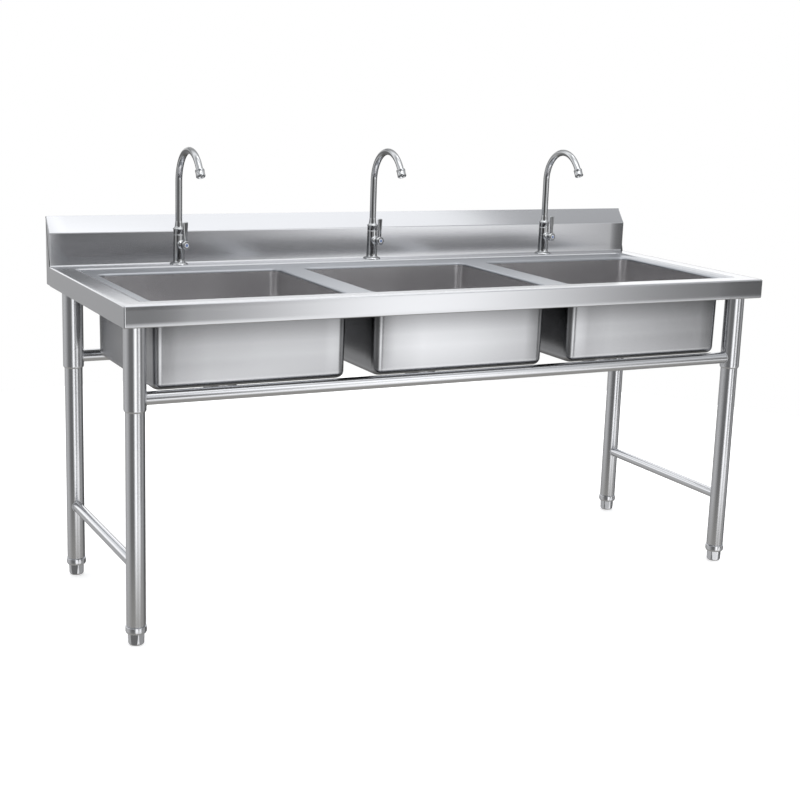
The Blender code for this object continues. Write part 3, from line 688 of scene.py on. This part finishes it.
class SINK_OT_feet(bpy.types.Operator):
    """Screw feet: a round taper with six flats milled on it, and a threaded stem"""
    bl_idname = "sink.feet"
    bl_label = "Screw feet"

    def execute(self, context):
        for label in ("front_left", "front_right", "rear_left", "rear_right"):
            low, high = box(f"foot_{label}")
            x, y = (low + high)[:2] / 2
            top = box(f"insert_{label}")[0][2] - 0.0003
            toe = arc(0, -80, 8)
            # Body: top face, a slight taper, then a rounded toe of 6 mm.
            body = np.vstack([
                [[0.0060, top], [0.0185, top], [0.0196, top - 0.0006], [0.0199, top - 0.0020]],
                np.stack([np.linspace(0.0199, 0.0190, 8), np.linspace(top - 0.004, 0.0066, 8)], axis=1),
                np.stack([0.0130 + 0.0060 * toe[:, 0], 0.0060 + 0.0060 * toe[:, 1]], axis=1),
                [[0.0135, 0.0], [0.0040, 0.0]]])
            # Flats: apothem over cos of the angle from the nearest flat's middle.
            def flats(t):
                return 0.0176 / np.cos((t + np.pi / 6) % (np.pi / 3) - np.pi / 6)
            turns = np.linspace(0, 1, 81)
            thread = np.stack([0.0057 + 0.0003 * np.cos(turns * 2 * np.pi * 16), top + (high[2] - top) * turns], axis=1)
            piece(f"screw_foot_{label}", [
                skin(turned(body, (x, y, 0), places=96, reach=flats), poles=(True, True)),
                skin(turned(thread[::-1], (x, y, 0), places=24), poles=(True, True))],
                finishes()["polished_tube_upright"], f"foot_{label}", [f"foot_{label}"], sharp=28)
        return {"FINISHED"}


class SINK_OT_taps(bpy.types.Operator):
    """Gooseneck taps: body with flange and side valve, swivel spout, aerator, lever and index button"""
    bl_idname = "sink.taps"
    bl_label = "Taps"

    def execute(self, context):
        have = finishes()
        chrome = have["bright_chrome_plate"]
        for side in SIDES:
            x, y, _ = JOINTS[f"spout_swivel_{side}"]["pos_m"]
            base = np.array([x, y, TOP_HIGH[2]])
            shank = box(f"tap_body_{side}")[0][2] - base[2]
            step = box(f"tap_body_{side}")[1][2] - base[2]
            roll = arc(90, 0, 6)
            turns = np.linspace(0, 1, 61)
            # Body from the joint down: plain barrel, a turned groove, the flange's domed edge, the thread.
            barrel = np.vstack([
                [[0.0100, step], [0.0136, step], [0.0144, step - 0.0008], [0.0145, step - 0.002], [0.0145, step - 0.03],
                 [0.0147, 0.026], [0.0149, 0.016], [0.0152, 0.0095], [0.0165, 0.0072]],
                np.stack([0.0185 + 0.0060 * roll[:, 0], 0.0012 + 0.0052 * roll[:, 1]], axis=1),
                [[0.0245, 0.0004], [0.0150, 0.0003]],
                np.stack([0.0143 - 0.0004 * (1 - np.cos(turns * 2 * np.pi * 22)), -0.004 + (shank + 0.004) * turns], axis=1),
                [[0.0070, shank]]])
            hub = base + [0, 0, JOINTS[f"lever_turn_{side}"]["pos_m"][2] - base[2]]
            dome = arc(0, 90, 7)
            boss = np.vstack([
                [[0.0125, 0.006], [0.0125, 0.0120]],
                np.stack([0.0085 + 0.0040 * dome[:, 0], 0.0130 + 0.0040 * dome[:, 1]], axis=1),
                [[0.0072, 0.0176], [0.0066, 0.0190], [0.0066, 0.0225], [0.0072, 0.0240], [0.0072, 0.0245]]])
            piece(f"tap_barrel_{side}", [
                skin(turned(barrel, base, places=72), poles=(True, True)),
                skin(turned(boss, hub, STUB, places=48), poles=(True, True))], chrome, "stand", [f"tap_body_{side}"], sharp=32)
            self.spout(side, base, step, chrome)
            self.lever(side, hub, chrome)
            # The sheet behind is too satin to mirror something so slim, so the taps are kept out of reflections.
            for name in (f"tap_barrel_{side}", f"gooseneck_{side}", f"aerator_cage_{side}", f"lever_handle_{side}"):
                bpy.data.objects[name].visible_glossy = False
            bpy.data.objects[f"button_{side}"].visible_glossy = False
            frame["nodes"][f"valve_stem_{side}"].visible_glossy = False
            for node, finish in ((f"valve_stem_{side}", chrome), (f"tap_nut_{side}", have["polished_tube_lengthwise"])):
                shown = frame["nodes"][node]
                shown.data.materials.clear()
                shown.data.materials.append(finish)
        return {"FINISHED"}

    def spout(self, side, base, step, chrome):
        """Collar and cone turned, then a tube along a straight rise and an arc, with its bore at the tip."""
        low, high = box(f"spout_{side}")
        neck, radius, sweep = 0.0090, 0.088, np.radians(150)
        top = high[2] - neck - base[2]
        seat = step + 0.0003
        ring = arc(-90, 90, 7)
        collar = np.vstack([
            [[0.0080, seat], [0.0138, seat], [0.0145, seat + 0.0008], [0.0145, seat + 0.0128]],
            np.stack([0.0146 + 0.0012 * ring[:, 0], seat + 0.0148 + 0.0014 * ring[:, 1]], axis=1),
            [[0.0138, seat + 0.0170], [0.0122, seat + 0.0178], [0.0112, seat + 0.0190], [0.0106, seat + 0.0230],
             [0.0098, seat + 0.0290], [0.0092, seat + 0.0345], [0.0088, seat + 0.0360]]])
        rise = np.linspace(seat + 0.02, top - radius, 12)[:-1]
        turn = np.linspace(0, sweep, 41)
        path = np.vstack([
            np.stack([0 * rise, 0 * rise, rise], axis=1),
            np.stack([0 * turn, -radius * (1 - np.cos(turn)), top - radius + radius * np.sin(turn)], axis=1)])
        down = np.array([0, -np.sin(sweep), np.cos(sweep)])
        tip = path[-1] + 0.010 * down
        path = np.vstack([path, path[-1] + 0.005 * down, tip, tip + 1e-6 * down, tip - 0.006 * down])
        tube = piped(path[:-2], neck, 40)
        bore = piped(np.vstack([tip, tip - 0.012 * down]), 0.0076, 40)
        # The bore's rings follow the outer ones, so that the tip has a real wall.
        first = min((np.roll(bore, n, axis=1) for n in range(40)), key=lambda g: np.abs(g[0] - tube[-1]).sum())
        grid = np.concatenate([tube, first]) + base
        piece(f"gooseneck_{side}", [
            skin(turned(collar, base, places=64), poles=(True, True)), skin(grid, poles=(True, True))],
            chrome, f"spout_{side}", [f"spout_{side}"], sharp=32)
        edge = arc(90, 0, 5)
        # Aerator: knurled band between two plain rims, a lip, and a screen of fine rings set inside.
        cage = np.vstack([
            [[neck + 0.0003, 0.0], [0.0108, 0.0]], np.stack([0.0108 + 0.0012 * edge[:, 0], 0.0012 - 0.0012 * edge[:, 1]], axis=1),
            [[0.0120, 0.0045], [0.0117, 0.0050], [0.0117, 0.0150], [0.0120, 0.0155], [0.0120, 0.0192], [0.0113, 0.0204], [0.0098, 0.0205],
             [0.0092, 0.0200], [0.0092, 0.0180]]])
        rings = np.linspace(0.0090, 0.0008, 42)
        screen = np.stack([rings, 0.0180 + 0.00025 * np.cos(np.arange(42) * np.pi)], axis=1)
        at = base + tip - 0.010 * down
        piece(f"aerator_cage_{side}", [skin(turned(np.vstack([cage, screen]), at, down, places=64), poles=(True, True))], chrome,
              f"spout_{side}", [f"aerator_{side}"], sharp=32)

    def lever(self, side, hub, chrome):
        """Turned hub, a flat blade of rounded section that widens upwards, and a domed button."""
        face = hub + STUB * 0.0248
        edge = arc(90, 0, 6)
        knob = np.vstack([
            [[0.0055, 0.0118], [0.0067, 0.0118], [0.0068, 0.0128], [0.0080, 0.0130]],
            np.stack([0.0098 + 0.0020 * edge[:, 0], 0.0110 + 0.0020 * edge[:, 1]], axis=1),
            [[0.0118, 0.0016], [0.0112, 0.0004], [0.0104, 0.0], [0.0050, 0.0]]])
        # Blade: a superellipse |u/w|^4 + |v/t|^4 = 1 in each ring, drawn in at the top by a quarter turn.
        height = box(f"lever_{side}")[1][2] - hub[2]
        t = np.linspace(0, 2 * np.pi, 40, endpoint=False)
        u = np.sign(np.cos(t)) * np.abs(np.cos(t)) ** 0.5
        v = np.sign(np.sin(t)) * np.abs(np.sin(t)) ** 0.5
        close = arc(0, 84, 9)
        rise = np.r_[np.linspace(0.004, height - 0.0030, 14), height - 0.0030 + 0.0030 * close[1:, 1]]
        share = np.clip((rise - 0.004) / (height - 0.004), 0, 1)
        wide = 0.0048 + 0.0034 * share ** 1.4
        thick = 0.0030 - 0.0008 * share
        pull = np.r_[np.ones(14), 1 - (1 - close[1:, 0]) * 0.45]
        across = np.cross([0, 0, 1], STUB)
        blade = (face + STUB * 0.0066 + (wide * pull)[:, None, None] * u[:, None] * across
                 + (thick * pull ** 2)[:, None, None] * v[:, None] * STUB + rise[:, None, None] * np.array([0, 0, 1.0]))
        piece(f"lever_handle_{side}", [
            skin(turned(knob, face, STUB, places=64), poles=(True, True)), skin(blade, poles=(True, True))],
            chrome, f"lever_{side}", [f"lever_{side}"], sharp=32)
        dome = arc(0, 80, 8)
        outer = np.vstack([[[0.0050, 0.0121], [0.0064, 0.0121], [0.0065, 0.0130]],
                           np.stack([0.0058 + 0.0007 * dome[:, 0], 0.0131 + 0.0006 * dome[:, 1]], axis=1), [[0.0040, 0.01385]]])
        inner = np.array([[0.0040, 0.0128], [0.0040, 0.01385], [0.0036, 0.01395], [0.0020, 0.0140], [0.0006, 0.0140]])
        piece(f"button_{side}", [
            skin(turned(outer, face, STUB, places=48), poles=(True, True)), skin(turned(inner, face, STUB, places=48), poles=(True, True))],
            finishes()["white_index_enamel"], f"lever_{side}", [f"index_button_{side}"],
            second=(finishes()["blue_index_enamel"], [1]))


def pierced(centre, height, rows, hole, wall, sides=16):
    """A pierced plate as cells of rings: each cell is a piece of a polar grid with a round hole, its
    edge points at the square's own directions and its hole points on a circle."""
    skins = []
    t = np.linspace(0, 2 * np.pi, sides, endpoint=False) + np.pi / sides * 0
    c, s = np.cos(t), np.sin(t)
    far = 1 / np.maximum(abs(c), abs(s))
    for inner, outer, count in rows:
        mid, half = (inner + outer) / 2, (outer - inner) / 2
        turn = 2 * np.pi / count
        for k in range(count):
            a = (k + 0.5 * (rows.index((inner, outer, count)) % 2)) * turn
            rad, ang = mid + half * far * c, a + turn / 2 * far * s
            edge = np.stack([rad * np.cos(ang), rad * np.sin(ang)], axis=1)
            spot = mid * np.array([np.cos(a), np.sin(a)])
            way = np.stack([np.cos(t + a), np.sin(t + a)], axis=1)
            flat = np.stack([edge, spot + hole * way, spot + hole * way, edge]) + np.asarray(centre)[:2]
            skins.append(skin(raised(flat, [height, height, height - wall, height - wall]), along=True))
    return skins


class SINK_OT_drains(bpy.types.Operator):
    """Drains: flanged strainer body, pierced lift-out basket with a knob, rubber washer and lugged nut"""
    bl_idname = "sink.drains"
    bl_label = "Drains"

    def execute(self, context):
        have = finishes()
        polished = have["polished_tube_upright"]
        for side in SIDES:
            low, high = box(f"strainer_{side}")
            x, y = (low + high)[:2] / 2
            z = high[2] - 0.0015
            at = (x, y, z)
            drop = low[2] - z
            edge = arc(-90, 90, 7)
            turns = np.linspace(0, 1, 49)
            # Strainer body: domed flange, cup, outlet thread, and the inside of the cup.
            body = np.vstack([
                [[0.0440, 0.0003], [0.0520, 0.0003]], np.stack([0.0550 + 0.0008 * edge[:, 0], 0.0011 + 0.0008 * edge[:, 1]], axis=1),
                [[0.0480, 0.0019], [0.0452, 0.0016], [0.0436, 0.0002], [0.0428, -0.0020], [0.0420, -0.0430], [0.0400, -0.0445],
                 [0.0185, -0.0482], [0.0175, -0.0500], [0.0175, drop], [0.0196, drop]],
                np.stack([0.0197 + 0.0004 * np.cos(turns * 2 * np.pi * 6), drop + 0.002 - (0.0535 + drop) * turns], axis=1),
                [[0.0205, -0.0510], [0.0215, -0.0500], [0.0430, -0.0465], [0.0440, -0.0440]]])
            piece(f"drain_body_{side}", [skin(turned(body, at, places=72), along=True)], polished, "stand",
                  [f"strainer_{side}"], sharp=32)
            # Basket: rolled rim, sloping wall, pierced floor and a turned knob on its post.
            rim = arc(-90, 180, 9)
            wall = np.vstack([
                [[0.0310, -0.0300], [0.0386, -0.0060], [0.0390, -0.0004]],
                np.stack([0.0405 + 0.0008 * rim[::-1, 0], 0.0002 + 0.0008 * rim[::-1, 1]], axis=1),
                [[0.0398, -0.0062], [0.0322, -0.0312]]])
            knob = arc(90, -90, 9)
            post = np.vstack([
                np.stack([0.0008 + 0.0062 * knob[:, 0] ** 0.6, 0.0032 + 0.0028 * knob[:, 1]], axis=1),
                [[0.0034, 0.0000], [0.0032, -0.0280], [0.0060, -0.0296]]])
            rows = [(0.0060, 0.0145, 8), (0.0145, 0.0230, 14), (0.0230, 0.0315, 20)]
            piece(f"strainer_basket_{side}", [
                skin(turned(wall, at, places=64), along=True), skin(turned(post, at, places=40), poles=(True, True)),
                *pierced(at, z - 0.0300, rows, 0.0026, 0.0011)], polished, f"basket_{side}", [f"basket_{side}"], sharp=32)
            low, high = box(f"drain_gasket_{side}")
            r, g0, g1 = (high[0] - low[0]) / 2, low[2] - z, high[2] - z
            washer = [[0.0447, g1], [r - 0.0006, g1], [r, g1 - 0.0006], [r, g0 + 0.0006], [r - 0.0006, g0], [0.0447, g0]]
            piece(f"washer_{side}", [skin(turned(washer, at, places=64), along=True)], have["black_rubber_washer"], "stand",
                  [f"drain_gasket_{side}"])
            low, high = box(f"drain_nut_{side}")
            n0, n1 = low[2] - z, high[2] - z
            # Nut: a plain flange over a skirt whose radius swells in sixteen finger lugs.
            skirt = [[0.0447, n1], [0.0535, n1], [0.0539, n1 - 0.0005], [0.0539, n1 - 0.0025], [0.0530, n1 - 0.0030], [0.0505, n1 - 0.0033],
                     [0.0505, n0 + 0.0008], [0.0498, n0], [0.0447, n0]]
            def lugs(t):
                return 0.0489 + 0.0050 * (0.5 + 0.5 * np.cos(16 * t)) ** 0.35
            grid = turned(skirt, at, places=192)
            cut = turned(skirt, at, places=192, reach=lugs)
            grid[5:8] = cut[5:8]
            piece(f"lug_nut_{side}", [skin(grid, along=True)], have["grey_moulded_nylon"], "stand", [f"drain_nut_{side}"],
                  sharp=32)
        return {"FINISHED"}


class SINK_OT_stage(bpy.types.Operator):
    """Pale floor, soft studio light and the camera"""
    bl_idname = "sink.stage"
    bl_label = "Studio"

    def execute(self, context):
        scene = context.scene
        # Floor: a pale disc, its rings spaced by the square of the step.
        t = np.linspace(0, 2 * np.pi, 96, endpoint=False)
        r = 2.6 * np.linspace(0.1, 1, 12) ** 2
        rings = r[:, None, None] * np.stack([np.cos(t), np.sin(t)], axis=1)
        grid = raised(rings, [-0.0005] * 12)
        points, faces = skin(grid, poles=(True, False))
        mesh = bpy.data.meshes.new("studio_floor")
        mesh.from_pydata(points, [], faces)
        floor = bpy.data.objects.new("studio_floor", mesh)
        scene.collection.objects.link(floor)
        made, tree, shader, place = blank("pale_paper_sweep")
        speck = add(tree, "ShaderNodeTexNoise", Vector=place, Scale=3.0, Detail=4.0).outputs["Fac"]
        tree.links.new(ramp(tree, speck, [(0.3, linear("F2F2F2")), (0.7, linear("FAFAFA"))]), shader.inputs["Base Color"])
        shader.inputs["Roughness"].default_value = 0.9
        shader.inputs["Emission Color"].default_value = (1.0, 1.0, 1.0, 1.0)
        shader.inputs["Emission Strength"].default_value = 0.45
        mesh.materials.append(made)
        floor.visible_glossy = False
        self.surroundings(scene)
        for name, at, look, wide, deep, power in (
                ("overhead_softbox", (0.2, -0.6, 3.4), (0.0, 0.0, 0.6), 3.2, 2.4, 22.0),
                ("front_softbox", (1.6, -4.0, 2.6), (0.0, 0.0, 0.5), 1.6, 1.6, 6.0)):
            light = bpy.data.lights.new(name, "AREA")
            light.shape, light.size, light.size_y, light.energy = "RECTANGLE", wide, deep, power
            lamp = bpy.data.objects.new(name, light)
            scene.collection.objects.link(lamp)
            lamp.location = at
            lamp.rotation_euler = (Vector(look) - Vector(at)).to_track_quat("-Z", "Y").to_euler()
        scene.view_settings.view_transform = "Standard"
        self.camera(scene)
        return {"FINISHED"}

    def surroundings(self, scene):
        """A studio of soft panels as a function of direction: brightness by bearing, lifted overhead."""
        world = bpy.data.worlds.new("studio_surroundings")
        world.use_nodes = True
        tree = world.node_tree
        ground = tree.nodes["Background"]
        way = add(tree, "ShaderNodeSeparateXYZ", Vector=tree.nodes.new("ShaderNodeTexCoord").outputs["Generated"])
        front = add(tree, "ShaderNodeMath", {"operation": "MULTIPLY"}, i0=way.outputs["Y"], i1=-1.0).outputs[0]
        bearing = add(tree, "ShaderNodeMath", {"operation": "ARCTAN2"}, i0=way.outputs["X"], i1=front).outputs[0]
        place = add(tree, "ShaderNodeMapRange", Value=bearing, From_Min=-np.pi, From_Max=np.pi).outputs["Result"]
        height = add(tree, "ShaderNodeMapRange", Value=way.outputs["Z"], From_Min=-1.0, From_Max=1.0).outputs["Result"]
        def panels(*stops):
            return ramp(tree, place, [((degrees + 180) / 360, value) for degrees, value in stops])
        def over(below, above, *stops):
            share = ramp(tree, height, [((z + 1) / 2, value) for z, value in stops])
            return add(tree, "ShaderNodeMix", {"data_type": "RGBA"}, i0=share, i6=below, i7=above).outputs[2]
        level = panels((-180, 0.45), (-150, 0.55), (-120, 0.66), (-98, 0.55), (-70, 0.20), (-34, 0.16), (-24, 0.60),
                       (-16, 1.8), (-1, 1.8), (6, 0.30), (12, 0.08), (17, 0.12), (22, 0.60), (26, 2.0), (30, 1.9), (34, 0.70),
                       (38, 0.12), (56, 0.14), (70, 0.50), (84, 0.42), (104, 0.10), (150, 0.10), (180, 0.45))
        under = panels((-180, 0.45), (-150, 0.55), (-120, 0.66), (-98, 0.55), (-70, 0.20), (-34, 0.16), (-24, 0.60),
                       (-16, 1.8), (-1, 1.8), (5, 0.80), (13, 1.05), (19, 1.35), (26, 1.55), (36, 1.40), (46, 0.75), (56, 0.30),
                       (66, 0.50), (84, 0.42), (104, 0.10), (150, 0.10), (180, 0.45))
        near = over(level, under, (-0.30, 1.0), (-0.20, 0.0))
        near = over(near, (0.42, 0.41, 0.385, 1.0), (-0.80, 1.0), (-0.42, 0.0))
        low_sky = panels((-180, 1.5), (-135, 1.4), (-100, 0.60), (-60, 0.30), (-32, 0.24), (-19, 0.50), (-12, 1.6), (-3, 1.6),
                         (4, 0.36), (14, 0.18), (19, 0.32), (26, 1.25), (32, 1.10), (40, 0.36), (60, 0.40), (84, 0.50), (105, 1.1),
                         (130, 1.5), (180, 1.5))
        both = over(near, low_sky, (0.02, 0.0), (0.11, 1.0))
        both = over(both, (0.90, 0.92, 0.94, 1.0), (0.26, 0.0), (0.36, 1.0), (0.42, 1.0), (0.54, 0.30), (0.66, 0.35), (0.80, 0.45))
        seen = tree.nodes.new("ShaderNodeLightPath").outputs["Is Camera Ray"]
        colour = add(tree, "ShaderNodeMix", {"data_type": "RGBA"}, i0=seen, i6=both, i7=(1.0, 1.0, 1.0, 1.0)).outputs[2]
        tree.links.new(colour, ground.inputs["Color"])
        ground.inputs["Strength"].default_value = 1.0
        scene.world = world

    def camera(self, scene):
        """The camera: position, bearing to the right of straight ahead, tilt down and roll in degrees."""
        seen = bpy.data.cameras.new("studio_camera")
        seen.sensor_width, seen.lens = 36.0, 66.87
        seen.clip_start, seen.clip_end = 0.05, 60
        eye = bpy.data.objects.new("studio_camera", seen)
        scene.collection.objects.link(eye)
        yaw, tilt, roll = np.radians([27.25, 12.53, 1.95])
        ahead = np.array([np.sin(yaw) * np.cos(tilt), np.cos(yaw) * np.cos(tilt), -np.sin(tilt)])
        right = np.array([np.cos(yaw), -np.sin(yaw), 0.0])
        up = np.cross(right, ahead)
        right, up = right * np.cos(roll) + up * np.sin(roll), up * np.cos(roll) - right * np.sin(roll)
        turn = Matrix(np.stack([right, up, -ahead], axis=1).tolist())
        corner = CAD_BOX[0]
        eye.matrix_world = Matrix.Translation((corner[0] - 0.936, corner[1] - 3.162, 1.350)) @ turn.to_4x4()
        scene.camera = eye


OPERATORS = (SINK_OT_worktop, SINK_OT_backsplash, SINK_OT_bowls, SINK_OT_underframe, SINK_OT_feet, SINK_OT_taps, SINK_OT_drains,
             SINK_OT_stage)


class SINK_PT_panel(bpy.types.Panel):
    """The sink's pieces, sizes and colours"""
    bl_idname = "SINK_PT_panel"
    bl_label = "Three Compartment Sink"
    bl_space_type = "VIEW_3D"
    bl_region_type = "UI"
    bl_category = "Sink"

    def draw(self, context):
        for group in (context.scene.sink_sizes, context.scene.sink_colours):
            for key in group.__annotations__:
                self.layout.prop(group, key)
        for operator in OPERATORS:
            self.layout.operator(operator.bl_idname)


CLASSES = (SinkSizes, SinkColours, *OPERATORS, SINK_PT_panel)


def register():
    for each in CLASSES:
        bpy.utils.register_class(each)
    bpy.types.Scene.sink_sizes = bpy.props.PointerProperty(type=SinkSizes)
    bpy.types.Scene.sink_colours = bpy.props.PointerProperty(type=SinkColours)


def unregister():
    del bpy.types.Scene.sink_sizes, bpy.types.Scene.sink_colours
    for each in reversed(CLASSES):
        bpy.utils.unregister_class(each)


def main():
    register()
    for operator in OPERATORS:
        group, name = operator.bl_idname.split(".")
        getattr(getattr(bpy.ops, group), name)()


if __name__ == "__main__":
    main()
